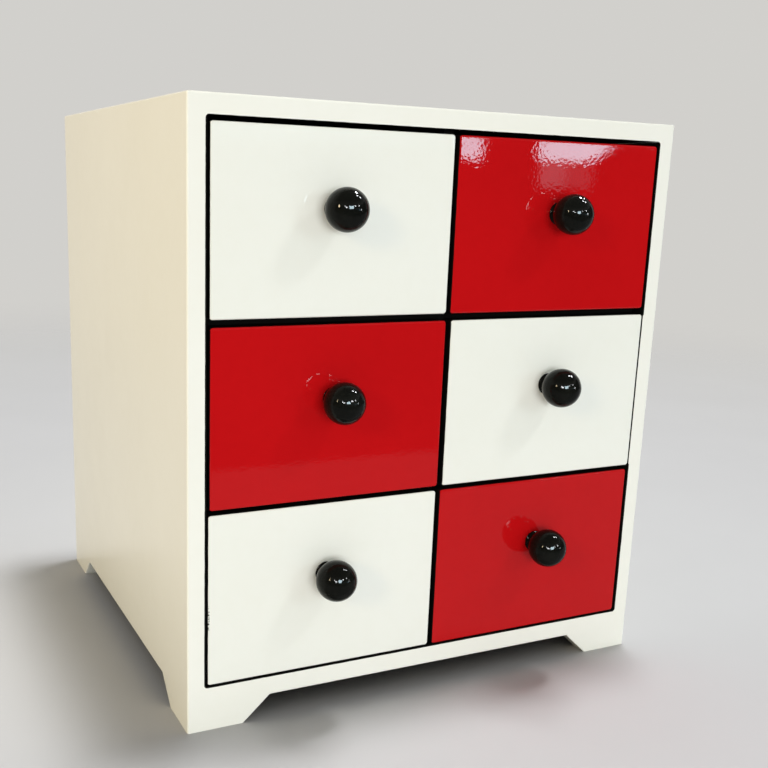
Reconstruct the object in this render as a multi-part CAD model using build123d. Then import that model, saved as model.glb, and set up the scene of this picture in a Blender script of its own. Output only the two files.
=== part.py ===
from build123d import *
import math
import os

# Table-top lacquer cabinet: a white case on bracket feet with six inset drawers in two columns.
# Millimetres. +X is to the right, +Y to the back, +Z up. The origin is on the floor, under the
# middle of the cabinet with its knobs counted in.

# Drawer fronts and the dark lines around them
FRONT_WIDTH = 128.0
FRONT_HEIGHT = 89.2
FRONT_THICK = 9.0
FRONT_CORNER = 1.6
FRONT_ARRIS = 1.0
SIDE_GAP = 1.1
CENTRE_GAP = 2.4
SILL_GAP = 0.6
LOWER_ROW_GAP = 2.4
UPPER_ROW_GAP = 3.55
HEAD_GAP = 2.3

# How far a drawer sits off the middle of its place, as a share of the side gap (+ is right)
SIDE_PLAY = {
    "middle_left": 0.25,
    "middle_right": 0.75,
    "lower_left": -0.35,
    "lower_right": -0.15,
}

# Case boards, with their lacquer
CASE_DEPTH = 265.0
BOARD = 9.7
RAIL_HEIGHT = 10.65
CASE_ARRIS = 1.0
OPENING_ARRIS = 0.6
HOUSING = 3.0

# Bracket feet
FOOT_HEIGHT = 13.2
FOOT_WIDTH = 30.0
FOOT_SLANT = 14.5
CORNER_BLOCK = 15.0
CORNER_BLOCK_LIFT = 2.5

# Shelves and centre divider, which stand behind the drawer fronts
SHELF = 6.0
DIVIDER = 6.0
LAP_CLEAR = 0.2
STOP_CLEAR = 0.2

# Back panel in its rebate
BACK_THICK = 4.0
BACK_REBATE = 6.0
BACK_CLEAR = 0.3

# Drawer boxes
BOX_SIDE = 6.0
BOX_BOTTOM = 3.0
BOX_CLEAR = 1.2
BOX_ARRIS = 0.8
RUN_CLEAR = 0.3
HEAD_CLEAR = 2.0
REAR_CLEAR = 3.0
BOTTOM_LIFT = 4.0
BOTTOM_GROOVE = 3.0
FRONT_HOUSING = 3.0
BACK_HOUSING = 2.0
BACK_INSET = 4.0
PANEL_PLAY = 0.3

# Knobs: a turned ball on a short flared collar
KNOB_BALL = 21.1
KNOB_LIFT = 7.2
COLLAR_DIA = 12.0
COLLAR_RIM = 0.8
COLLAR_LENGTH = 2.3
NECK_DIA = 10.4
NECK_HOLLOW = 0.35

# How far a knob's hole was drilled off its mark: across (+ is right) and up
KNOB_DRIFT = {
    "upper_left": (-1.2, 0.0),
    "middle_left": (0.6, 0.2),
    "middle_right": (0.5, 0.5),
    "lower_right": (0.7, 0.6),
}

# Knob screws, turned in from inside the drawer
SCREW_DIA = 3.5
SCREW_BITE = 9.0
SCREW_POINT = 2.5
SCREW_TIP_DIA = 0.8
SCREW_HEAD_DIA = 7.0
SCREW_HEAD_HEIGHT = 2.2
SCREW_SLOT_WIDTH = 0.9
SCREW_SLOT_DEPTH = 1.0
SCREW_FIT = 0.1
SCREW_HOLE_CLEAR = 0.6
BORE_SPARE = 1.0

# Countersunk screws of the back panel, and the angle in degrees from one slot to the next
BACK_SCREW_DIA = 2.6
BACK_SCREW_LENGTH = 13.0
BACK_SCREW_HEAD_DIA = 4.8
BACK_SCREW_SLOT_WIDTH = 0.8
BACK_SCREW_SLOT_DEPTH = 0.6
BACK_SCREW_TURN = 50.0
BACK_SCREWS_UP = 3
BACK_SCREWS_ACROSS = 2
BACK_SCREW_END = 25.0

# Dowels between the top and the sides
DOWEL_DIA = 5.0
DOWEL_IN_TOP = 6.0
DOWEL_IN_SIDE = 14.0
DOWEL_FIT = 0.1
DOWEL_SPARE = 0.5
DOWELS_PER_SIDE = 3
DOWEL_END = 35.0

# Sizes that follow: the case is built round its drawer fronts
OPENING_WIDTH = 2 * (FRONT_WIDTH + SIDE_GAP) + CENTRE_GAP
WIDTH = OPENING_WIDTH + 2 * BOARD
SILL = FOOT_HEIGHT + RAIL_HEIGHT
LOWER_FRONT_Z = SILL + SILL_GAP
MIDDLE_FRONT_Z = LOWER_FRONT_Z + FRONT_HEIGHT + LOWER_ROW_GAP
UPPER_FRONT_Z = MIDDLE_FRONT_Z + FRONT_HEIGHT + UPPER_ROW_GAP
OPENING_TOP = UPPER_FRONT_Z + FRONT_HEIGHT + HEAD_GAP
HEIGHT = OPENING_TOP + BOARD

BALL_CENTRE = COLLAR_LENGTH + KNOB_BALL / 2
KNOB_REACH = BALL_CENTRE + KNOB_BALL / 2
FRONT_Y = (KNOB_REACH - CASE_DEPTH) / 2
REAR_Y = FRONT_Y + CASE_DEPTH
BACK_Y = REAR_Y - BACK_THICK
SHELF_Y = FRONT_Y + FRONT_THICK + STOP_CLEAR
LAP_Y = (SHELF_Y + BACK_Y) / 2
BOTTOM_Z = SILL - BOARD

HALF_OPENING = OPENING_WIDTH / 2
HALF_WIDTH = WIDTH / 2
SHELF_TOPS = {
    "lower_shelf": MIDDLE_FRONT_Z - SILL_GAP,
    "upper_shelf": UPPER_FRONT_Z - SILL_GAP,
}

BAY_WIDTH = HALF_OPENING - DIVIDER / 2
BOX_SHIFT = (HALF_OPENING + DIVIDER / 2) / 2 - (CENTRE_GAP + FRONT_WIDTH) / 2
BOX_HALF = BAY_WIDTH / 2 - BOX_CLEAR
BOX_LOW = RUN_CLEAR - SILL_GAP
BOX_TOP = FRONT_HEIGHT + min(LOWER_ROW_GAP, UPPER_ROW_GAP) - SILL_GAP - SHELF - HEAD_CLEAR
BOX_END = CASE_DEPTH - BACK_THICK - REAR_CLEAR
PANEL_LOW = BOX_LOW + BOTTOM_LIFT
PANEL_TOP = PANEL_LOW + BOX_BOTTOM
KNOB_Z = FRONT_HEIGHT / 2 + KNOB_LIFT

ROWS = {"lower": LOWER_FRONT_Z, "middle": MIDDLE_FRONT_Z, "upper": UPPER_FRONT_Z}
COLUMNS = {"left": -1, "right": 1}

nodes = {}


def block(x, y, z):
    """A box between a low and a high limit along each axis."""
    sizes = [high - low for low, high in (x, y, z)]
    middles = [(high + low) / 2 for low, high in (x, y, z)]
    return Pos(*middles) * Box(*sizes)


def rod(diameter, start, direction, length):
    """A round bar from a point along a direction."""
    return extrude(Plane(start, z_dir=direction) * Circle(diameter / 2), length)


def evenly(low, high, count):
    """Places spread from low to high, both ends used."""
    return [low + (high - low) * i / (count - 1) for i in range(count)]


def foot_cut(span):
    """Cut-out that leaves a bracket foot at each end of a board of the given length."""
    floor = span / 2 - FOOT_WIDTH
    head = floor - FOOT_SLANT
    return make_face(Polyline((-floor, 0), (-head, FOOT_HEIGHT), (head, FOOT_HEIGHT), (floor, 0), close=True))


# Case


def case_blank():
    """The whole outside of the case, arrises rounded, before it is parted into boards."""
    mid_y = (FRONT_Y + REAR_Y) / 2
    blank = block((-HALF_WIDTH, HALF_WIDTH), (FRONT_Y, REAR_Y), (0, HEIGHT))
    above_floor = blank.edges().filter_by(lambda edge: edge.center().Z > 0)
    blank = fillet(above_floor, min(CASE_ARRIS, BOARD / 3))
    blank -= block((-HALF_OPENING, HALF_OPENING), (FRONT_Y, REAR_Y), (SILL, OPENING_TOP))
    front_cut = Plane((0, mid_y, 0), x_dir=(1, 0, 0), z_dir=(0, -1, 0)) * foot_cut(WIDTH)
    side_cut = Plane((0, mid_y, 0), x_dir=(0, 1, 0), z_dir=(1, 0, 0)) * foot_cut(CASE_DEPTH)
    blank -= extrude(front_cut, CASE_DEPTH, both=True)
    blank -= extrude(side_cut, WIDTH, both=True)

    outer_faces = [blank.faces().sort_by(axis)[end] for axis in (Axis.X, Axis.Y) for end in (0, -1)]
    foot_edges = [
        edge
        for face in outer_faces
        for edge in face.outer_wire().edges()
        if 0 < edge.center().Z < SILL
    ]
    mouth = blank.faces().sort_by(Axis.Y)[0].inner_wires()[0]
    return fillet(foot_edges + list(mouth.edges()), min(OPENING_ARRIS, BOARD / 3))


def case_boards():
    """Parts the blank into the boards of the case and cuts their joints."""
    blank = case_blank()
    whole_y = (FRONT_Y, REAR_Y)
    between = (-HALF_OPENING, HALF_OPENING)
    rebate_x = HALF_OPENING + BACK_REBATE
    rebate = block(
        (-rebate_x, rebate_x), (BACK_Y, REAR_Y), (SILL - BACK_REBATE, OPENING_TOP + BACK_REBATE)
    )
    housed_x = HALF_OPENING + HOUSING

    nodes["bottom_panel"] = block(
        (-housed_x, housed_x), (FRONT_Y + BOARD, REAR_Y - BOARD), (BOTTOM_Z, SILL)
    )
    for name, top in SHELF_TOPS.items():
        nodes[name] = block((-housed_x, housed_x), (SHELF_Y, BACK_Y), (top - SHELF, top))
    divider = block(
        (-DIVIDER / 2, DIVIDER / 2), (SHELF_Y, BACK_Y), (SILL - HOUSING, OPENING_TOP + HOUSING)
    )

    sides = block((-HALF_WIDTH, HALF_WIDTH), whole_y, (0, OPENING_TOP))
    sides -= block(between, whole_y, (0, OPENING_TOP))
    boards = (blank & sides) - rebate
    for housed in ("bottom_panel", *SHELF_TOPS):
        boards -= nodes[housed]
    left, right = boards.solids().sort_by(Axis.X)
    nodes["left_side"] = left
    nodes["right_side"] = right

    over = block((-HALF_WIDTH, HALF_WIDTH), whole_y, (OPENING_TOP, HEIGHT))
    nodes["top_panel"] = (blank & over) - rebate
    nodes["front_apron"] = blank & block(between, (FRONT_Y, FRONT_Y + BOARD), (0, SILL))
    nodes["rear_apron"] = (blank & block(between, (REAR_Y - BOARD, REAR_Y), (0, SILL))) - rebate
    for name in ("top_panel", "bottom_panel", "front_apron", "rear_apron"):
        nodes[name] -= divider

    panel_x = rebate_x - BACK_CLEAR
    nodes["back_panel"] = block(
        (-panel_x, panel_x),
        (BACK_Y, REAR_Y),
        (SILL - BACK_REBATE + BACK_CLEAR, OPENING_TOP + BACK_REBATE - BACK_CLEAR),
    )

    half_lap = DIVIDER / 2 + LAP_CLEAR / 2
    for name, top in SHELF_TOPS.items():
        nodes[name] -= block((-half_lap, half_lap), (LAP_Y, BACK_Y), (top - SHELF, top))
        divider -= block(
            (-DIVIDER / 2, DIVIDER / 2),
            (SHELF_Y, LAP_Y + LAP_CLEAR),
            (top - SHELF - LAP_CLEAR / 2, top + LAP_CLEAR / 2),
        )
    nodes["centre_divider"] = divider


def corner_blocks():
    """Four three-cornered blocks that tie each bracket foot to the bottom panel."""
    blocks = []
    for side in (-1, 1):
        for corner_y, inward in ((FRONT_Y + BOARD, 1), (REAR_Y - BOARD, -1)):
            corner = (side * HALF_OPENING, corner_y)
            outline = Polyline(
                corner,
                (corner[0] - side * CORNER_BLOCK, corner_y),
                (corner[0], corner_y + inward * CORNER_BLOCK),
                close=True,
            )
            profile = Pos(0, 0, CORNER_BLOCK_LIFT) * make_face(outline)
            blocks.append(extrude(profile, BOTTOM_Z - CORNER_BLOCK_LIFT, dir=(0, 0, 1)))
    nodes["corner_blocks"] = Compound(children=[b.solid() for b in blocks])


def top_dowels():
    """Dowels that stand in the ends of the sides and reach up into the top."""
    dowels = []
    low = OPENING_TOP - DOWEL_IN_SIDE
    length = DOWEL_IN_SIDE + DOWEL_IN_TOP
    for name, side in (("left_side", -1), ("right_side", 1)):
        for y in evenly(FRONT_Y + DOWEL_END, REAR_Y - DOWEL_END, DOWELS_PER_SIDE):
            x = side * (HALF_OPENING + BOARD / 2)
            dowels.append(rod(DOWEL_DIA, (x, y, low), (0, 0, 1), length))
            hole = rod(
                DOWEL_DIA + DOWEL_FIT, (x, y, low - DOWEL_SPARE), (0, 0, 1), length + 2 * DOWEL_SPARE
            )
            nodes[name] -= hole
            nodes["top_panel"] -= hole
    nodes["top_dowels"] = Compound(children=[d.solid() for d in dowels])


def back_screw_places():
    """Where the back panel's screws stand in its rebate, with the boards that each one bites."""
    lap_x = HALF_OPENING + BACK_REBATE / 2
    head_z = OPENING_TOP + BACK_REBATE / 2
    foot_z = SILL - BACK_REBATE / 2
    places = []
    for z in evenly(SILL + BACK_SCREW_END, OPENING_TOP - BACK_SCREW_END, BACK_SCREWS_UP):
        places.append((["left_side"], -lap_x, z))
        places.append((["right_side"], lap_x, z))
    for x in evenly(-HALF_OPENING / 2, HALF_OPENING / 2, BACK_SCREWS_ACROSS):
        places.append((["top_panel"], x, head_z))
        places.append((["rear_apron", "bottom_panel"], x, foot_z))
    return places


def back_screws():
    """Countersunk slotted screws through the back panel, flush with its face."""
    head_length = (BACK_SCREW_HEAD_DIA - BACK_SCREW_DIA) / 2
    screws = []
    for number, (boards, x, z) in enumerate(back_screw_places()):
        face = Plane((x, REAR_Y, z), z_dir=(0, -1, 0))
        head = face * Pos(0, 0, head_length / 2) * Cone(
            BACK_SCREW_HEAD_DIA / 2, BACK_SCREW_DIA / 2, head_length
        )
        slot = face * Rot(0, 0, number * BACK_SCREW_TURN) * Box(
            BACK_SCREW_HEAD_DIA, BACK_SCREW_SLOT_WIDTH, 2 * BACK_SCREW_SLOT_DEPTH
        )
        shank = rod(BACK_SCREW_DIA, (x, REAR_Y, z), (0, -1, 0), BACK_SCREW_LENGTH)
        screws.append(head + shank - slot)
        hole = rod(BACK_SCREW_DIA + SCREW_FIT, (x, REAR_Y, z), (0, -1, 0), BACK_SCREW_LENGTH + BORE_SPARE)
        sink = face * Pos(0, 0, head_length / 2) * Cone(
            (BACK_SCREW_HEAD_DIA + SCREW_FIT) / 2, (BACK_SCREW_DIA + SCREW_FIT) / 2, head_length
        )
        nodes["back_panel"] -= hole + sink
        for board in boards:
            nodes[board] -= hole
    nodes["back_screws"] = Compound(children=[s.solid() for s in screws])


# Drawers, each in its own place with the front's lower edge at z 0 and its face at y 0


def knob():
    """Ball and flared collar turned about Y, standing out of the front's face, bored for its screw."""
    ball = KNOB_BALL / 2
    neck = NECK_DIA / 2
    neck_y = BALL_CENTRE - math.sqrt(ball**2 - neck**2)
    rim = (COLLAR_DIA / 2, -COLLAR_RIM)
    meet = (neck, -neck_y)
    hollow = ((rim[0] + neck) / 2 - NECK_HOLLOW, (rim[1] + meet[1]) / 2)
    tip = (0, -KNOB_REACH)
    cheek = (ball, -BALL_CENTRE)
    outline = [
        Line((0, 0), (COLLAR_DIA / 2, 0)),
        Line((COLLAR_DIA / 2, 0), rim),
        ThreePointArc(rim, hollow, meet),
        ThreePointArc(meet, cheek, tip),
        Line(tip, (0, 0)),
    ]
    turned = revolve(make_face(outline), Axis.Y)
    bore = rod(SCREW_DIA + SCREW_FIT, (0, 0, 0), (0, -1, 0), SCREW_BITE + BORE_SPARE)
    return turned - bore


def knob_screw():
    """Round-head slotted screw through the drawer front into the knob."""
    head = SCREW_HEAD_DIA / 2
    seat = FRONT_THICK
    crown = seat + SCREW_HEAD_HEIGHT
    dome = (head**2 + SCREW_HEAD_HEIGHT**2) / (2 * SCREW_HEAD_HEIGHT)
    half_turn = math.asin(head / dome) / 2
    midway = (dome * math.sin(half_turn), crown - dome + dome * math.cos(half_turn))
    outline = [
        Line((0, seat), (head, seat)),
        ThreePointArc((head, seat), midway, (0, crown)),
        Line((0, crown), (0, seat)),
    ]
    point_start = Plane((0, SCREW_POINT - SCREW_BITE, 0), z_dir=(0, -1, 0))
    point = Cone(SCREW_DIA / 2, SCREW_TIP_DIA / 2, SCREW_POINT)
    shank = rod(SCREW_DIA, (0, seat, 0), (0, -1, 0), seat + SCREW_BITE - SCREW_POINT)
    turned = revolve(make_face(outline), Axis.Y) + shank + point_start * Pos(0, 0, SCREW_POINT / 2) * point
    slot = block(
        (-head, head), (crown - SCREW_SLOT_DEPTH, crown), (-SCREW_SLOT_WIDTH / 2, SCREW_SLOT_WIDTH / 2)
    )
    return turned - slot


def drawer_front(box_x, side_limits, knob_x, knob_z):
    """Front board: rounded face, housings for the sides, groove for the bottom, hole for the knob screw."""
    half = FRONT_WIDTH / 2
    board = block((-half, half), (0, FRONT_THICK), (0, FRONT_HEIGHT))
    board = fillet(board.edges().filter_by(Axis.Y), FRONT_CORNER)
    board = fillet(board.faces().sort_by(Axis.Y)[0].edges(), min(FRONT_ARRIS, FRONT_THICK / 3))
    for limits in side_limits:
        board -= block(limits, (FRONT_THICK - FRONT_HOUSING, FRONT_THICK), (BOX_LOW, BOX_TOP))
    inner = BOX_HALF - BOX_SIDE
    board -= block(
        (box_x - inner, box_x + inner), (FRONT_THICK - BOTTOM_GROOVE, FRONT_THICK), (PANEL_LOW, PANEL_TOP)
    )
    return board - rod(SCREW_DIA + SCREW_HOLE_CLEAR, (knob_x, 0, knob_z), (0, 1, 0), FRONT_THICK)


def drawer(hand, drift):
    """The seven pieces of one drawer; hand is -1 in the left column and 1 in the right, drift its knob's."""
    box_x = hand * BOX_SHIFT
    knob_x = drift[0]
    knob_z = KNOB_Z + drift[1]
    inner = BOX_HALF - BOX_SIDE
    back_end = BOX_END - BACK_INSET
    back_limits = (back_end - BOX_SIDE, back_end)
    grooved = inner + BOTTOM_GROOVE
    housed = inner + BACK_HOUSING
    side_limits = [
        (box_x - BOX_HALF, box_x - inner),
        (box_x + inner, box_x + BOX_HALF),
    ]

    pieces = {"front": drawer_front(box_x, side_limits, knob_x, knob_z)}
    for name, limits in zip(("left_side", "right_side"), side_limits):
        board = block(limits, (FRONT_THICK - FRONT_HOUSING, BOX_END), (BOX_LOW, BOX_TOP))
        board = fillet(board.edges().filter_by(Axis.Y).group_by(Axis.Z)[-1], min(BOX_ARRIS, BOX_SIDE / 3))
        groove_y = (FRONT_THICK - FRONT_HOUSING, BOX_END)
        board -= block((box_x - grooved, box_x + grooved), groove_y, (PANEL_LOW, PANEL_TOP))
        board -= block((box_x - housed, box_x + housed), back_limits, (PANEL_TOP, BOX_TOP))
        pieces[name] = board
    pieces["back"] = block((box_x - housed, box_x + housed), back_limits, (PANEL_TOP, BOX_TOP))
    tongue = grooved - PANEL_PLAY
    pieces["bottom"] = block(
        (box_x - tongue, box_x + tongue),
        (FRONT_THICK - BOTTOM_GROOVE + PANEL_PLAY, BOX_END),
        (PANEL_LOW, PANEL_TOP),
    )
    pieces["knob"] = Pos(knob_x, 0, knob_z) * knob()
    pieces["knob_screw"] = Pos(knob_x, 0, knob_z) * knob_screw()
    return pieces


def drawers():
    """Six drawers in their places."""
    for column, hand in COLUMNS.items():
        for row, z in ROWS.items():
            name = f"{row}_{column}"
            x = hand * (CENTRE_GAP + FRONT_WIDTH) / 2 + SIDE_PLAY.get(name, 0.0) * SIDE_GAP
            for piece, solid in drawer(hand, KNOB_DRIFT.get(name, (0.0, 0.0))).items():
                nodes[f"{name}_drawer_{piece}"] = Pos(x, FRONT_Y, z) * solid


case_boards()
corner_blocks()
top_dowels()
back_screws()
drawers()

os.makedirs("parts", exist_ok=True)
for name, solid in nodes.items():
    export_step(solid, f"parts/{name}.step")
print(len(nodes), "pieces; case", round(WIDTH, 2), "wide,", CASE_DEPTH, "deep,", round(HEIGHT, 2), "high")
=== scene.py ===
import math

import bpy
import numpy as np
from mathutils import Matrix, Vector


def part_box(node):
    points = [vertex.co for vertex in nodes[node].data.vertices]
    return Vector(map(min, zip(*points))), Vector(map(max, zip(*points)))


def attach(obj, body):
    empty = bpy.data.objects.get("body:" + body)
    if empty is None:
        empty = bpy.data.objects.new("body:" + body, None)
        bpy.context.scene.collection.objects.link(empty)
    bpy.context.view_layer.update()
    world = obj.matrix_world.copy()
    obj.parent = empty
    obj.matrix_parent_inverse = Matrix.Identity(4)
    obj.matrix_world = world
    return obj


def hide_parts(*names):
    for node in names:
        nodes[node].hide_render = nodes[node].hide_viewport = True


# Looks of a table-top lacquer cabinet: the finish of every board, the turned knobs and the stage.
# Metres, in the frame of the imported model: +X right, +Y to the back, +Z up, floor at 0.
MM = 0.001
MICRON = 1e-6

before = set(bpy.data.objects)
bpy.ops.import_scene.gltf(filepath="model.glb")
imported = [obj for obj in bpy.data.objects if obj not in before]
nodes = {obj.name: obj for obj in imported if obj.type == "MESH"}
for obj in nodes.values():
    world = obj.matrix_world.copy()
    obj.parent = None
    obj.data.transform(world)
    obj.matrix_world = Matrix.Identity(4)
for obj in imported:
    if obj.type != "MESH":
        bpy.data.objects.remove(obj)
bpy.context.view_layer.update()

# Planes of the case, read from its boards
APRON_LOW, APRON_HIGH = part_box("front_apron")
FACE_Y = APRON_LOW[1]
APRON_BACK_Y = APRON_HIGH[1]
BACK_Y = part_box("back_panel")[0][1]
REAR_APRON_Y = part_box("rear_apron")[0][1]
HALF_OPENING = APRON_HIGH[0]
SILL = APRON_HIGH[2]
OPENING_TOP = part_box("left_side")[1][2]

ROWS = ("upper", "middle", "lower")
COLUMNS = ("left", "right")
RED_FRONTS = ("upper_right", "middle_left", "lower_right")

# Colours of the finishes, linear
WHITE = (0.850, 0.855, 0.775)
WHITE_DEEP = (0.815, 0.815, 0.720)
# Case white: the fronts' white made 5% lighter, painted light for the brighter edges and feet of the
# case
CASE_WHITE_LIT = (0.890, 0.895, 0.812)
CASE_WHITE_DEEP_LIT = (0.853, 0.853, 0.754)
RED = (0.510, 0.0050, 0.0067)
RED_DEEP = (0.440, 0.0038, 0.0052)
# Case black: the drawer boxes' black paint made about three times darker, painted shade for the gaps
BLACK_AND_GAP_SHADE = (0.0042, 0.0042, 0.0038)
BLACK_WORN_AND_GAP_SHADE = (0.0115, 0.0108, 0.0095)
BOX_BLACK = (0.0140, 0.0138, 0.0132)
BOX_BLACK_WORN = (0.0300, 0.0288, 0.0265)
KNOB_BLACK = (0.0052, 0.0056, 0.0046)
KNOB_BLACK_THIN = (0.0080, 0.0086, 0.0070)
WOOD_PALE = (0.60, 0.44, 0.27)
WOOD_DARK = (0.40, 0.26, 0.13)
ZINC_BRIGHT = (0.66, 0.66, 0.68)
ZINC_GREY = (0.45, 0.45, 0.46)

# Index of refraction of the gloss lacquers, of the knobs, of the flatter black boards and the felt,
# and of the matt black behind the coloured edges
GLOSS_INDEX = 1.38
KNOB_INDEX = 1.20
FLAT_INDEX = 1.25
MATT_INDEX = 1.12

# Sockets of a colour mix: its factor, its two colours and its result
MIX_FACTOR, MIX_FIRST, MIX_SECOND, MIX_RESULT = 0, 6, 7, 2


class Shade:
    """A node socket that takes part in Python arithmetic, which adds the Math nodes it needs."""

    def __init__(self, tree, socket=None):
        self.tree = tree
        self.socket = socket

    def node(self, kind, settings=None, inputs=None, output=0):
        """Adds a node with its settings and the value or link of each socket; gives one output."""
        made = self.tree.nodes.new(kind)
        for name, value in (settings or {}).items():
            setattr(made, name, value)
        for name, value in (inputs or {}).items():
            if isinstance(value, Shade):
                self.tree.links.new(value.socket, made.inputs[name])
            else:
                made.inputs[name].default_value = value
        return Shade(self.tree, None if output is None else made.outputs[output])

    def math(self, operation, *values):
        """A Math node on these values."""
        return self.node("ShaderNodeMath", {"operation": operation}, dict(enumerate(values)))

    def __add__(self, other):
        return self.math("ADD", self, other)

    def __sub__(self, other):
        return self.math("SUBTRACT", self, other)

    def __rsub__(self, other):
        return self.math("SUBTRACT", other, self)

    def __mul__(self, other):
        return self.math("MULTIPLY", self, other)

    def __abs__(self):
        return self.math("ABSOLUTE", self)

    def either(self, other):
        """The larger of this and another value."""
        return self.math("MAXIMUM", self, other)

    def diagonal(self, other):
        """Length of the diagonal over two distances at right angles."""
        return self.math("SQRT", self * self + other * other)

    def ramp(self, low, swing):
        """Low, plus this value times the swing."""
        return self * swing + low

    def over(self, low, blur):
        """Mask that rises smoothly from 0 at low to 1 at low + blur."""
        return self.node(
            "ShaderNodeMapRange",
            {"interpolation_type": "SMOOTHSTEP"},
            {"Value": self, "From Min": low, "From Max": low + blur},
        )

    def under(self, high, blur):
        """Mask that falls smoothly from 1 at high - blur to 0 at high."""
        return (self * -1.0).over(-high, blur)

    def parts(self):
        """The X, Y and Z of a vector."""
        split = self.node("ShaderNodeSeparateXYZ", inputs={0: self})
        return [Shade(self.tree, socket) for socket in split.socket.node.outputs]

    def stretched(self, factors):
        """A vector with each axis multiplied by its own factor."""
        return self.node("ShaderNodeVectorMath", {"operation": "MULTIPLY"}, {0: self, 1: factors})

    def noise(self, scale, detail=1.0):
        """Cloudy noise over a place; scale is in features per metre."""
        inputs = {"Vector": self, "Scale": scale, "Detail": detail, "Roughness": 0.5}
        return self.node("ShaderNodeTexNoise", inputs=inputs, output="Fac")

    def patches(self, scale, detail, low, blur):
        """Mask of the places where cloudy noise rises over low."""
        return self.noise(scale, detail).over(low, blur)

    def relief(self, scale, height, detail=1.0):
        """Height in metres of a skin of cloudy noise."""
        return self.noise(scale, detail) * height

    def mixed(self, first, second):
        """A colour that goes from first to second with this mask."""
        inputs = {MIX_FACTOR: self, MIX_FIRST: colour(first), MIX_SECOND: colour(second)}
        return self.node("ShaderNodeMix", {"data_type": "RGBA"}, inputs, output=MIX_RESULT)

    def bump(self):
        """The normal of a surface raised by this height in metres."""
        inputs = {"Strength": 1.0, "Distance": 1.0, "Height": self}
        return self.node("ShaderNodeBump", inputs=inputs, output="Normal")


def colour(value):
    """A colour with its alpha, or a linked one as it is."""
    return value if isinstance(value, Shade) else (*value, 1.0)


def new_finish(name):
    """A new empty material, with its Object coordinates to build on."""
    material = bpy.data.materials.new(name)
    material.use_nodes = True
    material.node_tree.nodes.clear()
    place = Shade(material.node_tree).node("ShaderNodeTexCoord", output="Object")
    return material, place


def close_finish(material, place, inputs, mask=None, covered=None):
    """Ends a material in one surface shader, or in two where a mask lays one over the other."""
    surface = place.node("ShaderNodeBsdfPrincipled", inputs=inputs)
    if mask is not None:
        cover = place.node("ShaderNodeBsdfPrincipled", inputs=covered)
        surface = place.node("ShaderNodeMixShader", inputs={0: mask, 1: surface, 2: cover})
    place.node("ShaderNodeOutputMaterial", inputs={"Surface": surface}, output=None)
    return material


# Finishes

# Sprayed skin, as features per metre and height; nibs, as cells per metre, radius in cells, height
BOARD_WAVES = (17.0, 40 * MICRON)
COARSE_PEEL = (240.0, 5 * MICRON)
FINE_PEEL = (620.0, 11 * MICRON)
NIB_CELLS = 45.0
NIB_RADIUS = 0.025
NIB_HEIGHT = 6 * MICRON

# Clouding of a lacquer's colour, as features per metre, detail, start and blur, with their shares
CLOUDS = (11.0, 2.0, 0.35, 0.40)
MOTTLE = (140.0, 2.0, 0.35, 0.40)
CLOUD_SHARE = 0.35
MOTTLE_SHARE = 0.15

# Rubbing of a lacquer, as features per metre and detail, and the least roughness of the polished
# fronts and of the case, which is only sprayed
RUBBING = (38.0, 3.0)
FRONT_DULL = 0.012
CASE_DULL = 0.12


def sprayed_skin(place):
    """Height of a sprayed lacquer: slow waves of the board, orange peel in two sizes, dust nibs."""
    cells = {"Vector": place, "Scale": NIB_CELLS}
    near = place.node("ShaderNodeTexVoronoi", inputs=cells, output="Distance")
    nibs = (1.0 - near.over(0.0, NIB_RADIUS)) * NIB_HEIGHT
    return place.relief(*BOARD_WAVES) + place.relief(*COARSE_PEEL) + place.relief(*FINE_PEEL) + nibs


def clouded(place, light, deep):
    """Lacquer colour with a faint large clouding and a finer mottle."""
    clouds, mottle = place.patches(*CLOUDS), place.patches(*MOTTLE)
    return (clouds * CLOUD_SHARE + mottle * MOTTLE_SHARE).mixed(light, deep)


def sprayed(place, light, deep, dull):
    """Sockets of a sprayed lacquer in one colour; its roughness goes from dull to twice dull."""
    return {
        "Base Color": clouded(place, light, deep),
        "Roughness": (place.noise(*RUBBING) + 1.0) * dull,
        "IOR": GLOSS_INDEX,
        "Normal": sprayed_skin(place).bump(),
    }


# Brushed black, as features per metre and detail, roughness and swing, and brush marks
BRUSHING = (240.0, 2.0)
BRUSHED_DULL = (0.50, 0.15)
BRUSH_MARKS = (420.0, 12 * MICRON, 2.0)


def matt_black(place):
    """Sockets of the thin black brushed on behind the coloured edges, darkened as painted shade."""
    return {
        "Base Color": clouded(place, BLACK_AND_GAP_SHADE, BLACK_WORN_AND_GAP_SHADE),
        "Roughness": place.noise(*BRUSHING).ramp(*BRUSHED_DULL),
        "IOR": MATT_INDEX,
        "Normal": place.relief(*BRUSH_MARKS).bump(),
    }


# Where the coloured lacquer stops. Black laps out of the case's mouth on each side, less beside the
# middle right front, and has rounded corners there. It laps round a front's upright edges, and a
# front's colour ends a little behind its face.
LEFT_LAP = 1.00 * MM
RIGHT_LAP = 0.70 * MM
MIDDLE_RIGHT_LAP = 0.25 * MM
HEAD_LAP = 0.25 * MM
SILL_LAP = 0.65 * MM
LAP_FADE = 1.0 * MM
MOUTH_CORNER = 1.8 * MM
UPRIGHT_LAP = 0.30 * MM
FRONT_BORDER = 0.60 * MM
BORDER_BLUR = 0.06 * MM
SKIN = 0.05 * MM

# How far a border strays, and the features per metre and detail of its straying
BORDER_WANDER = 0.22 * MM
WANDERING = (160.0, 2.0)

# Flakes off the left edge of one front, from a height to a height; their reach, how softly the
# stretch ends, and the features per metre, detail, start and blur of the flakes
CHIPS = {"lower_left": ((53 * MM, 68 * MM),)}
CHIP_DEPTH = 0.9 * MM
CHIP_FADE = 3 * MM
FLAKES = (1100.0, 2.0, 0.50, 0.06)


def border_wander(place):
    """How far a painted border strays from its line, to either side."""
    return (place.noise(*WANDERING) - 0.5) * BORDER_WANDER


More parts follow.
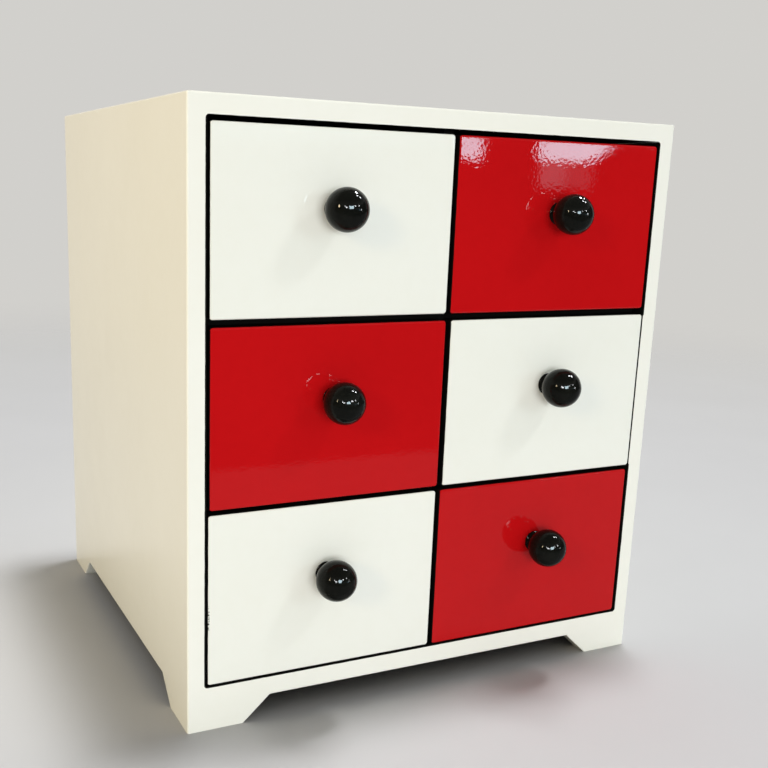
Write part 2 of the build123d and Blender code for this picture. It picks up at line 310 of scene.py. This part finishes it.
def inside_case(place):
    """Mask of the surfaces behind the case's white front edge: in the opening, under the bottom.

    The mouth is a rectangle with rounded corners, which reaches back to the back panel. Under the
    bottom the mask covers what lies between the two sides and between the two aprons.
    """
    x, y, z = place.parts()
    left, right = -HALF_OPENING - LEFT_LAP, HALF_OPENING + RIGHT_LAP
    foot, head = SILL - SILL_LAP, OPENING_TOP + HEAD_LAP
    low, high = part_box("middle_right_drawer_front")
    beside = x.over(0.0, LAP_FADE) * z.over(low[2], LAP_FADE) * z.under(high[2], LAP_FADE)
    thin = beside * (RIGHT_LAP - MIDDLE_RIGHT_LAP)
    aside = abs(x + thin - (left + right) / 2) - ((right - left) / 2 - MOUTH_CORNER)
    aloft = abs(z - (foot + head) / 2) - ((head - foot) / 2 - MOUTH_CORNER)
    past = aside.either(0.0).diagonal(aloft.either(0.0))
    mouth = 1.0 - (past + border_wander(place)).over(MOUTH_CORNER, BORDER_BLUR)
    before_back = y.under(BACK_Y + SKIN + BORDER_BLUR, BORDER_BLUR)
    between = (HALF_OPENING + SKIN - abs(x)).over(0.0, BORDER_BLUR)
    behind_apron = y.over(APRON_BACK_Y - SKIN, BORDER_BLUR)
    before_apron = y.under(REAR_APRON_Y + SKIN + BORDER_BLUR, BORDER_BLUR)
    below_sill = z.under(SILL, BORDER_BLUR)
    return (mouth * before_back).either(behind_apron * before_apron * between * below_sill)


def case_lacquer():
    """Painted-light white satin outside; painted-shade black inside the opening and under the
    bottom.
    """
    material, place = new_finish("case_lacquer")
    outside = sprayed(place, CASE_WHITE_LIT, CASE_WHITE_DEEP_LIT, CASE_DULL)
    return close_finish(material, place, outside, inside_case(place), matt_black(place))


def front_lacquer(drawer, light, deep, chips=()):
    """A coloured gloss face whose lacquer ends on the rounded edge, with black edges behind it.

    Chips are stretches of the left edge, from a height to a height, where flakes have come off.
    """
    material, place = new_finish(f"{drawer}_lacquer")
    x, y, z = place.parts()
    low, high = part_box(f"{drawer}_front")
    middle, half = (low[0] + high[0]) / 2, (high[0] - low[0]) / 2
    wander = border_wander(place)
    edge = (y + wander).over(FACE_Y + FRONT_BORDER, BORDER_BLUR)
    edge = edge.either((abs(x - middle) + wander).over(half - UPRIGHT_LAP, BORDER_BLUR))
    for foot, head in chips:
        along = z.over(foot, CHIP_FADE) * z.under(head, CHIP_FADE)
        flakes = place.patches(*FLAKES) * along
        edge = edge.either(flakes * (middle - x).over(half - CHIP_DEPTH, BORDER_BLUR))
    face = sprayed(place, light, deep, FRONT_DULL)
    return close_finish(material, place, face, edge, matt_black(place))


# Black boards: features per metre of the grain along each axis, its detail and height; worn places
# as features per metre, detail, start and blur; the share of each in the colour; the roughness
GRAIN_STRETCH = (900.0, 34.0, 900.0)
GRAIN = (1.0, 3.0)
GRAIN_HEIGHT = 22 * MICRON
BOARD_SKIN = (400.0, 6 * MICRON)
WORN_PLACES = (60.0, 4.0, 0.62, 0.20)
WORN_SHARE = 0.5
GRAIN_SHARE = 0.3
BOARD_DULL = (0.42, 0.14)
WORN_DULL = 0.1


def black_boards(name, light, deep):
    """Brushed semi-gloss black over board, with the grain showing through."""
    material, place = new_finish(name)
    grain = place.stretched(GRAIN_STRETCH).noise(*GRAIN)
    worn = place.patches(*WORN_PLACES)
    return close_finish(material, place, {
        "Base Color": (worn * WORN_SHARE + grain * GRAIN_SHARE).mixed(light, deep),
        "Roughness": grain.ramp(*BOARD_DULL) + worn * WORN_DULL,
        "IOR": FLAT_INDEX,
        "Normal": (grain * GRAIN_HEIGHT + place.relief(*BOARD_SKIN)).bump(),
    })


# Knob lacquer: orange peel in two sizes, thin places, and rubbing with its roughness
KNOB_FINE_PEEL = (620.0, 60 * MICRON, 1.5)
KNOB_COARSE_PEEL = (210.0, 40 * MICRON)
KNOB_THIN_PLACES = (90.0, 2.0, 0.40, 0.40)
KNOB_RUBBING = (160.0, 2.0)
KNOB_DULL = (0.035, 0.05)


def knob_lacquer():
    """Thick black gloss dipped on turned wood; its strong orange peel breaks up highlights."""
    material, place = new_finish("knob_lacquer")
    peel = place.relief(*KNOB_FINE_PEEL) + place.relief(*KNOB_COARSE_PEEL)
    return close_finish(material, place, {
        "Base Color": place.patches(*KNOB_THIN_PLACES).mixed(KNOB_BLACK, KNOB_BLACK_THIN),
        "Roughness": place.noise(*KNOB_RUBBING).ramp(*KNOB_DULL),
        "IOR": KNOB_INDEX,
        "Normal": peel.bump(),
    })


# Bare wood: stretch, features per metre and detail of the year rings, start and blur of the dark
# ones, roughness and height
RING_STRETCH = (1.0, 1.0, 0.12)
RINGS = (420.0, 4.0)
RING_EDGE = (0.30, 0.45)
WOOD_DULL = (0.62, 0.20)
RING_HEIGHT = 60 * MICRON


def bare_wood():
    """Sawn softwood of the corner blocks and dowels."""
    material, place = new_finish("bare_wood")
    rings = place.stretched(RING_STRETCH).noise(*RINGS)
    return close_finish(material, place, {
        "Base Color": rings.over(*RING_EDGE).mixed(WOOD_PALE, WOOD_DARK),
        "Roughness": rings.ramp(*WOOD_DULL),
        "Normal": (rings * RING_HEIGHT).bump(),
    })


# Zinc: features per metre and detail of its marks, start and blur of the grey ones, roughness and
# height
ZINC_MARKS = (900.0, 3.0)
ZINC_EDGE = (0.35, 0.40)
ZINC_DULL = (0.22, 0.25)
ZINC_HEIGHT = 5 * MICRON


def zinc():
    """Bright plated screws, a little dulled and brushed by the driver."""
    material, place = new_finish("zinc")
    marks = place.noise(*ZINC_MARKS)
    return close_finish(material, place, {
        "Base Color": marks.over(*ZINC_EDGE).mixed(ZINC_BRIGHT, ZINC_GREY),
        "Metallic": 1.0,
        "Roughness": marks.ramp(*ZINC_DULL),
        "Normal": (marks * ZINC_HEIGHT).bump(),
    })


CASE_LACQUER = case_lacquer()
# The case boards take the black darkened as painted shade, where their front edges show in the gaps
CASE_BOARDS = black_boards("case_boards", BLACK_AND_GAP_SHADE, BLACK_WORN_AND_GAP_SHADE)
BOX_BOARDS = black_boards("box_boards", BOX_BLACK, BOX_BLACK_WORN)
KNOB_LACQUER = knob_lacquer()
BARE_WOOD = bare_wood()
ZINC = zinc()


def dress(node, material):
    """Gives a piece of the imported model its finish."""
    for slot in nodes[node].material_slots:
        slot.material = material


for board in ("left_side", "right_side", "top_panel", "front_apron", "rear_apron", "back_panel"):
    dress(board, CASE_LACQUER)
for board in ("bottom_panel", "lower_shelf", "upper_shelf", "centre_divider"):
    dress(board, CASE_BOARDS)
for piece in ("corner_blocks", "top_dowels"):
    dress(piece, BARE_WOOD)
dress("back_screws", ZINC)


# Knobs

COLLAR_RADIUS = 6.0 * MM
COLLAR_RIM = 0.8 * MM
COLLAR_ROUND = 0.3 * MM
NECK_RADIUS = 5.2 * MM
NECK_HOLLOW = 0.35 * MM
KNOB_ROUND_STEPS = 96
KNOB_RIM_STEPS = 7
KNOB_NECK_STEPS = 12
KNOB_BALL_STEPS = 56


def knob_profile(ball, tip):
    """Outline of a knob as radius and reach from the face: rounded collar rim, hollow neck, ball.

    The rim is a quarter circle from the collar's side to its top edge. The neck runs from there to
    the ball with its radius lowered by a half sine. The ball is a circle from the neck to the tip.
    """
    centre = tip - ball
    meet = math.asin(NECK_RADIUS / ball)
    meet_reach = centre - ball * math.cos(meet)
    turn = np.linspace(0.0, math.pi / 2, KNOB_RIM_STEPS)
    rim_radius = COLLAR_RADIUS - COLLAR_ROUND * (1.0 - np.cos(turn))
    rim_reach = COLLAR_RIM - COLLAR_ROUND + COLLAR_ROUND * np.sin(turn)
    rim_top = rim_radius[-1]
    along = np.linspace(0.0, 1.0, KNOB_NECK_STEPS)[1:-1]
    hollow = NECK_HOLLOW * np.sin(math.pi * along)
    neck_radius = rim_top + (NECK_RADIUS - rim_top) * along - hollow
    neck_reach = COLLAR_RIM + (meet_reach - COLLAR_RIM) * along
    sweep = np.linspace(meet, math.pi, KNOB_BALL_STEPS)[:-1]
    radius = np.concatenate(([COLLAR_RADIUS], rim_radius, neck_radius, ball * np.sin(sweep)))
    reach = np.concatenate(([0.0], rim_reach, neck_reach, centre - ball * np.cos(sweep)))
    return radius, reach


def turned_mesh(name, radius, reach, tip, centre):
    """A profile turned about the line out of the face.

    At each angle x is the radius times its cosine, z the radius times its sine, and y the face less
    the reach. Quads join each ring of the profile to the next; fans close the flat base and the tip.
    """
    angle = np.linspace(0.0, 2 * math.pi, KNOB_ROUND_STEPS, endpoint=False)
    x = centre[0] + np.outer(radius, np.cos(angle))
    z = centre[2] + np.outer(radius, np.sin(angle))
    y = np.broadcast_to(centre[1] - reach[:, None], x.shape)
    rings = np.stack([x, y, z], axis=-1).reshape(-1, 3)
    poles = np.array([centre, (centre[0], centre[1] - tip, centre[2])])
    points = np.concatenate([rings, poles])

    ring = np.arange(KNOB_ROUND_STEPS)
    beside = np.roll(ring, -1)
    start = np.arange(len(radius) - 1)[:, None] * KNOB_ROUND_STEPS
    after = start + KNOB_ROUND_STEPS
    last = (len(radius) - 1) * KNOB_ROUND_STEPS
    quads = np.stack([start + ring, after + ring, after + beside, start + beside], axis=-1)
    base_fan = np.stack([np.full_like(ring, len(rings)), ring, beside], axis=-1)
    tip_fan = np.stack([np.full_like(ring, len(rings) + 1), last + beside, last + ring], axis=-1)
    faces = quads.reshape(-1, 4).tolist() + base_fan.tolist() + tip_fan.tolist()

    mesh = bpy.data.meshes.new(name)
    mesh.from_pydata(points.tolist(), [], faces)
    mesh.polygons.foreach_set("use_smooth", np.ones(len(mesh.polygons), dtype=bool))
    mesh.update()
    return mesh


def turned_knob(drawer):
    """One knob in place of its plain solid, riding on its drawer."""
    node = f"{drawer}_knob"
    low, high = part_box(node)
    ball = (high[0] - low[0]) / 2
    tip = high[1] - low[1]
    centre = ((low[0] + high[0]) / 2, high[1], (low[2] + high[2]) / 2)
    mesh = turned_mesh(f"{drawer}_turned_knob", *knob_profile(ball, tip), tip, centre)
    knob = bpy.data.objects.new(mesh.name, mesh)
    bpy.context.scene.collection.objects.link(knob)
    mesh.materials.append(KNOB_LACQUER)
    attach(knob, drawer)
    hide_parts(node)
    return knob


# Drawers

KNOBS = []
FRONTS = []
for row in ROWS:
    for column in COLUMNS:
        drawer = f"{row}_{column}_drawer"
        tones = (RED, RED_DEEP) if f"{row}_{column}" in RED_FRONTS else (WHITE, WHITE_DEEP)
        chips = CHIPS.get(f"{row}_{column}", ())
        dress(f"{drawer}_front", front_lacquer(drawer, *tones, chips))
        for board in ("left_side", "right_side", "back", "bottom"):
            dress(f"{drawer}_{board}", BOX_BOARDS)
        dress(f"{drawer}_knob_screw", ZINC)
        KNOBS.append(turned_knob(drawer))
        FRONTS.append(nodes[f"{drawer}_front"])


# Stage

# Floor: half its width, where it starts to fade and over what distance, its two tones with the
# features per metre and detail of their clouding, the background it fades into, and the roughness of
# the floor and the felt
FLOOR_HALF = 4.0
FLOOR_FADE = (0.50, 1.30)
FLOOR_COLOUR = (0.64, 0.63, 0.62)
FLOOR_DEEP = (0.60, 0.59, 0.58)
FLOOR_CLOUDS = (6.0, 3.0)
BACKGROUND = (0.64, 0.63, 0.605)
STAGE_DULL = 0.9


def sheet_piece(name, points, faces, material):
    """A flat-faced stage piece from its corner points."""
    mesh = bpy.data.meshes.new(name)
    mesh.from_pydata(points, [], faces)
    mesh.materials.append(material)
    made = bpy.data.objects.new(name, mesh)
    bpy.context.scene.collection.objects.link(made)
    return made


def floor_finish():
    """Pale matt floor that fades into the background far out."""
    material, place = new_finish("pale_floor")
    x, y, _ = place.parts()
    faded = x.diagonal(y).over(*FLOOR_FADE)
    surface = place.node("ShaderNodeBsdfPrincipled", inputs={
        "Base Color": place.noise(*FLOOR_CLOUDS).mixed(FLOOR_COLOUR, FLOOR_DEEP),
        "Roughness": STAGE_DULL,
        "Specular IOR Level": 0.0,
    })
    clear = place.node("ShaderNodeBsdfTransparent")
    shader = place.node("ShaderNodeMixShader", inputs={0: faded, 1: surface, 2: clear})
    place.node("ShaderNodeOutputMaterial", inputs={"Surface": shader}, output=None)
    return material


floor = sheet_piece(
    "floor",
    [(x * FLOOR_HALF, y * FLOOR_HALF, 0) for x, y in ((-1, -1), (1, -1), (1, 1), (-1, 1))],
    [(0, 1, 2, 3)],
    floor_finish(),
)

# A sheet that only reflections see, a painted reflection: grey felt on the floor before the cabinet,
# which shows a darker floor in gloss, then dark felt that stands up behind the lamps in front and at
# both sides, which shows a dim room
FELT_NEAR = FACE_Y - 0.01
DARK_NEAR = FACE_Y - 0.447
DARK_FAR = FACE_Y - 2.60
DARK_SIDE_END = FACE_Y + 0.05
DARK_BLUR = 0.006
FELT_HALF = 2.6
FELT_TOP = 1.50
FELT_LIFT = 0.001
REFLECTED_FLOOR_GREY = (0.36, 0.36, 0.37)
REFLECTED_ROOM_DARK = (0.035, 0.035, 0.038)
FELT_NAP = (90.0, 2.0)
FELT_NAP_SHARE = 0.15

# Rows of the sheet's points, as Y and Z, each with a point on the left and one on the right
FELT_ROWS = (
    (FELT_NEAR, FELT_LIFT),
    (DARK_FAR, FELT_LIFT),
    (DARK_FAR, FELT_TOP),
    (DARK_SIDE_END, FELT_LIFT),
    (DARK_SIDE_END, FELT_TOP),
)
FELT_FACES = [(0, 2, 3, 1), (2, 4, 5, 3), (2, 6, 8, 4), (3, 5, 9, 7)]


def felt():
    """Dull felt, grey near the cabinet, dark further out and up: a painted reflection of floor and
    room.
    """
    material, place = new_finish("felt")
    _, y, z = place.parts()
    nap = place.noise(*FELT_NAP) * FELT_NAP_SHARE
    far = y.under(DARK_NEAR, DARK_BLUR).either(z.over(2 * FELT_LIFT, FELT_LIFT))
    return close_finish(material, place, {
        "Base Color": (far + nap).mixed(REFLECTED_FLOOR_GREY, REFLECTED_ROOM_DARK),
        "Roughness": STAGE_DULL,
        "IOR": FLAT_INDEX,
    })


sheet = sheet_piece(
    "painted_reflection_sheet",
    [(side * FELT_HALF, y, z) for y, z in FELT_ROWS for side in (-1, 1)],
    FELT_FACES,
    felt(),
)
sheet.visible_camera = sheet.visible_diffuse = False
sheet.visible_shadow = sheet.visible_transmission = False

# Light of the room from each side, and where one goes over into the next: start and blur along the
# ray's direction
ROOM_LEFT = (0.445, 0.362, 0.220)
ROOM_RIGHT = (0.40, 0.42, 0.45)
ROOM_FRONT = (0.12, 0.12, 0.118)
ROOM_ABOVE = (0.40, 0.41, 0.42)
CEILING = (0.10, 0.10, 0.10)
LEFT_TO_RIGHT = (-0.6, 1.2)
SIDES_TO_FRONT = (-0.2, 0.5)
SIDES_TO_ABOVE = (0.25, 0.5)
WALLS_TO_CEILING = (0.40, 0.30)


def surroundings():
    """Soft light from above and the sides, warmer from the left.

    Where they are seen, straight or in gloss, they are pale walls under a dark ceiling.
    """
    world = bpy.data.worlds.new("surroundings")
    world.use_nodes = True
    world.node_tree.nodes.clear()
    ray = Shade(world.node_tree).node("ShaderNodeTexCoord", output="Generated")
    x, y, z = ray.parts()
    path = ray.node("ShaderNodeLightPath").socket.node.outputs
    seen = Shade(ray.tree, path["Is Camera Ray"])
    for kind in ("Is Glossy Ray", "Is Transmission Ray"):
        seen = seen.either(Shade(ray.tree, path[kind]))
    walls = z.over(*WALLS_TO_CEILING).mixed(BACKGROUND, CEILING)
    beside = x.over(*LEFT_TO_RIGHT).mixed(ROOM_LEFT, ROOM_RIGHT)
    around = y.under(*SIDES_TO_FRONT).mixed(beside, ROOM_FRONT)
    glow = z.over(*SIDES_TO_ABOVE).mixed(around, ROOM_ABOVE)
    inputs = {"Color": seen.mixed(glow, walls), "Strength": 1.0}
    light = ray.node("ShaderNodeBackground", inputs=inputs)
    ray.node("ShaderNodeOutputWorld", inputs={"Surface": light}, output=None)
    bpy.context.scene.world = world


surroundings()


def flag(name, state, pieces):
    """A set of flags that keeps a lamp off some pieces, or on them alone."""
    flagged = bpy.data.collections.new(name)
    for piece in pieces:
        flagged.objects.link(piece)
    for entry in flagged.collection_objects:
        entry.light_linking.link_state = state
    return flagged


OFF_FLOOR = flag("off_floor", "EXCLUDE", (floor, sheet))
FLOOR_ALONE = flag("floor_alone", "INCLUDE", (floor, sheet))
KNOBS_ALONE = flag("knobs_alone", "INCLUDE", KNOBS)
FRONTS_ALONE = flag("fronts_alone", "INCLUDE", KNOBS + FRONTS)

AIM = Vector((0.0, FACE_Y, 0.16))
COOL = (0.95, 0.97, 1.0)
WINDOW = (0.78, 0.92, 1.0)
PALE_SKY = (0.72, 0.92, 1.0)
SKY = (0.50, 0.86, 1.0)
WARM = (1.0, 0.80, 0.50)


def lamp(name, place, facing, size, tint, radiance, receivers):
    """A rectangular lamp at a place, shining along facing on its receivers.

    Its power is its radiance times pi times its area.
    """
    data = bpy.data.lights.new(name, "AREA")
    data.shape = "RECTANGLE"
    data.size, data.size_y = size
    data.color = tint
    data.energy = radiance * math.pi * size[0] * size[1]
    made = bpy.data.objects.new(name, data)
    bpy.context.scene.collection.objects.link(made)
    turn = Vector(facing).to_track_quat("-Z", "Y").to_matrix().to_4x4()
    made.matrix_world = Matrix.Translation(place) @ turn
    made.visible_camera = False
    made.light_linking.receiver_collection = receivers
    return made


def lamp_round(name, azimuth, elevation, distance, size, tint, radiance, receivers):
    """A lamp that faces the cabinet; azimuth 0 is straight in front of it, + to the right."""
    turn, lift = math.radians(azimuth), math.radians(elevation)
    level = math.cos(lift)
    way = Vector((math.sin(turn) * level, -math.cos(turn) * level, math.sin(lift)))
    return lamp(name, AIM + way * distance, -way, size, tint, radiance, receivers)


# Lamps that light the cabinet, and one that lights the floor; no gloss shows them.
# Azimuth, elevation, distance, size, tint, radiance
LAMPS = {
    "front_soft": (-15.0, 7.0, 1.5, (0.80, 0.40), COOL, 11.6),
    "right_window": (32.0, 17.0, 2.0, (0.42, 0.42), WINDOW, 7.0),
    "right_high": (48.0, 45.0, 2.0, (0.26, 0.20), COOL, 32.0),
    "left_warm": (-56.0, 19.0, 2.0, (0.30, 0.30), WARM, 21.0),
    "left_soft": (-98.0, 28.0, 1.0, (0.50, 0.30), WARM, 5.0),
    "right_soft": (98.0, 10.0, 1.8, (0.90, 0.50), COOL, 5.2),
    "back_soft": (176.0, 10.0, 1.8, (0.90, 0.50), COOL, 6.0),
    "top_soft": (150.0, 80.0, 2.2, (0.80, 0.80), COOL, 8.0),
    "floor_soft": (125.0, 82.0, 3.2, (0.50, 0.50), COOL, 100.0),
}

for name, values in LAMPS.items():
    made = lamp_round(name, *values, FLOOR_ALONE if name == "floor_soft" else OFF_FLOOR)
    made.visible_glossy = False

# Glints: small windows that only the knobs' gloss shows, in a broken row across every knob and a
# cluster high on the right.
# Azimuth, elevation, size, tint, radiance
GLINT_DISTANCE = 2.4
GLINTS = (
    (-70.0, 20.0, (0.14, 0.40), WARM, 120.0),
    (-40.0, 20.0, (0.14, 0.22), COOL, 130.0),
    (-31.0, 15.0, (0.40, 0.20), COOL, 130.0),
    (-6.0, 15.0, (0.80, 0.60), PALE_SKY, 80.0),
    (14.0, 22.0, (0.22, 0.16), COOL, 130.0),
    (36.0, 22.0, (0.18, 0.22), COOL, 130.0),
    (48.0, 6.0, (0.18, 0.20), COOL, 80.0),
    (76.5, 58.0, (0.24, 0.20), COOL, 150.0),
    (80.0, 47.0, (0.26, 0.20), COOL, 150.0),
    (112.0, 56.0, (0.30, 0.22), COOL, 150.0),
    (116.0, 40.0, (0.30, 0.24), COOL, 150.0),
)
for number, (azimuth, elevation, *values) in enumerate(GLINTS):
    made = lamp_round(f"glint_{number}", azimuth, elevation, GLINT_DISTANCE, *values, KNOBS_ALONE)
    made.visible_diffuse = False

# Panes of a window wall, which light the fronts and knobs alone; the feet of the bright ones show in
# the upper right front, the last in steps that climb to the right
PANE_WALL_Y = FACE_Y - 2.4
PANE_FACING = (0.0, 1.0, 0.0)
PANE_RAIL = 0.445
PANE_HEAD = 0.600
PANE_BRIGHT = 18.5
PANE_DIM = 3.5
STEPS = 6
STEPS_LEFT = 2.030
STEPS_FOOT = 0.374
STEP_WIDTH = 0.015
STEP_RISE = 0.009

# Left, right, foot, top, radiance
PANES = [
    (1.500, 1.590, 0.361, PANE_RAIL, PANE_BRIGHT),
    (1.812, STEPS_LEFT, 0.368, PANE_RAIL, PANE_BRIGHT),
]
for step in range(STEPS):
    left = STEPS_LEFT + STEP_WIDTH * step
    foot = STEPS_FOOT + STEP_RISE * step
    PANES.append((left, left + STEP_WIDTH, foot, PANE_RAIL, PANE_BRIGHT))
PANES += [
    (1.500, 1.600, PANE_RAIL, PANE_HEAD, PANE_DIM),
    (1.812, 2.600, PANE_RAIL, PANE_HEAD, PANE_DIM),
    (1.820, 1.925, 0.282, 0.360, 2.0),
    (1.925, 2.040, 0.282, 0.360, 0.9),
    (0.150, 1.450, 0.390, PANE_HEAD, 0.8),
]
for number, (left, right, foot, top, radiance) in enumerate(PANES):
    middle = ((left + right) / 2, PANE_WALL_Y, (foot + top) / 2)
    size = (right - left, top - foot)
    lamp(f"pane_{number}", middle, PANE_FACING, size, SKY, radiance, FRONTS_ALONE)

# Camera at the photograph's viewing angle
CAMERA_PLACE = (-0.28278, FACE_Y - 0.45243, 0.27235)
CAMERA_YAW = math.radians(26.37)
CAMERA_PITCH = math.radians(-13.07)
CAMERA_ROLL = math.radians(1.92)
CAMERA_LENS = 48.26
CAMERA_SENSOR = 36.0
CAMERA_SHIFT = (0.0531, 0.0507)
CAMERA_CLIP_START = 0.01


def photograph_camera():
    """Yaw to the right of +Y, pitch above the level, roll that tips the right side up."""
    data = bpy.data.cameras.new("camera")
    data.lens = CAMERA_LENS
    data.sensor_width = CAMERA_SENSOR
    data.shift_x, data.shift_y = CAMERA_SHIFT
    data.clip_start = CAMERA_CLIP_START
    camera = bpy.data.objects.new("camera", data)
    bpy.context.scene.collection.objects.link(camera)
    camera.matrix_world = (
        Matrix.Translation(CAMERA_PLACE)
        @ Matrix.Rotation(-CAMERA_YAW, 4, "Z")
        @ Matrix.Rotation(math.pi / 2 + CAMERA_PITCH, 4, "X")
        @ Matrix.Rotation(CAMERA_ROLL, 4, "Z")
    )
    bpy.context.scene.camera = camera


photograph_camera()
bpy.context.scene.view_settings.view_transform = "Standard"
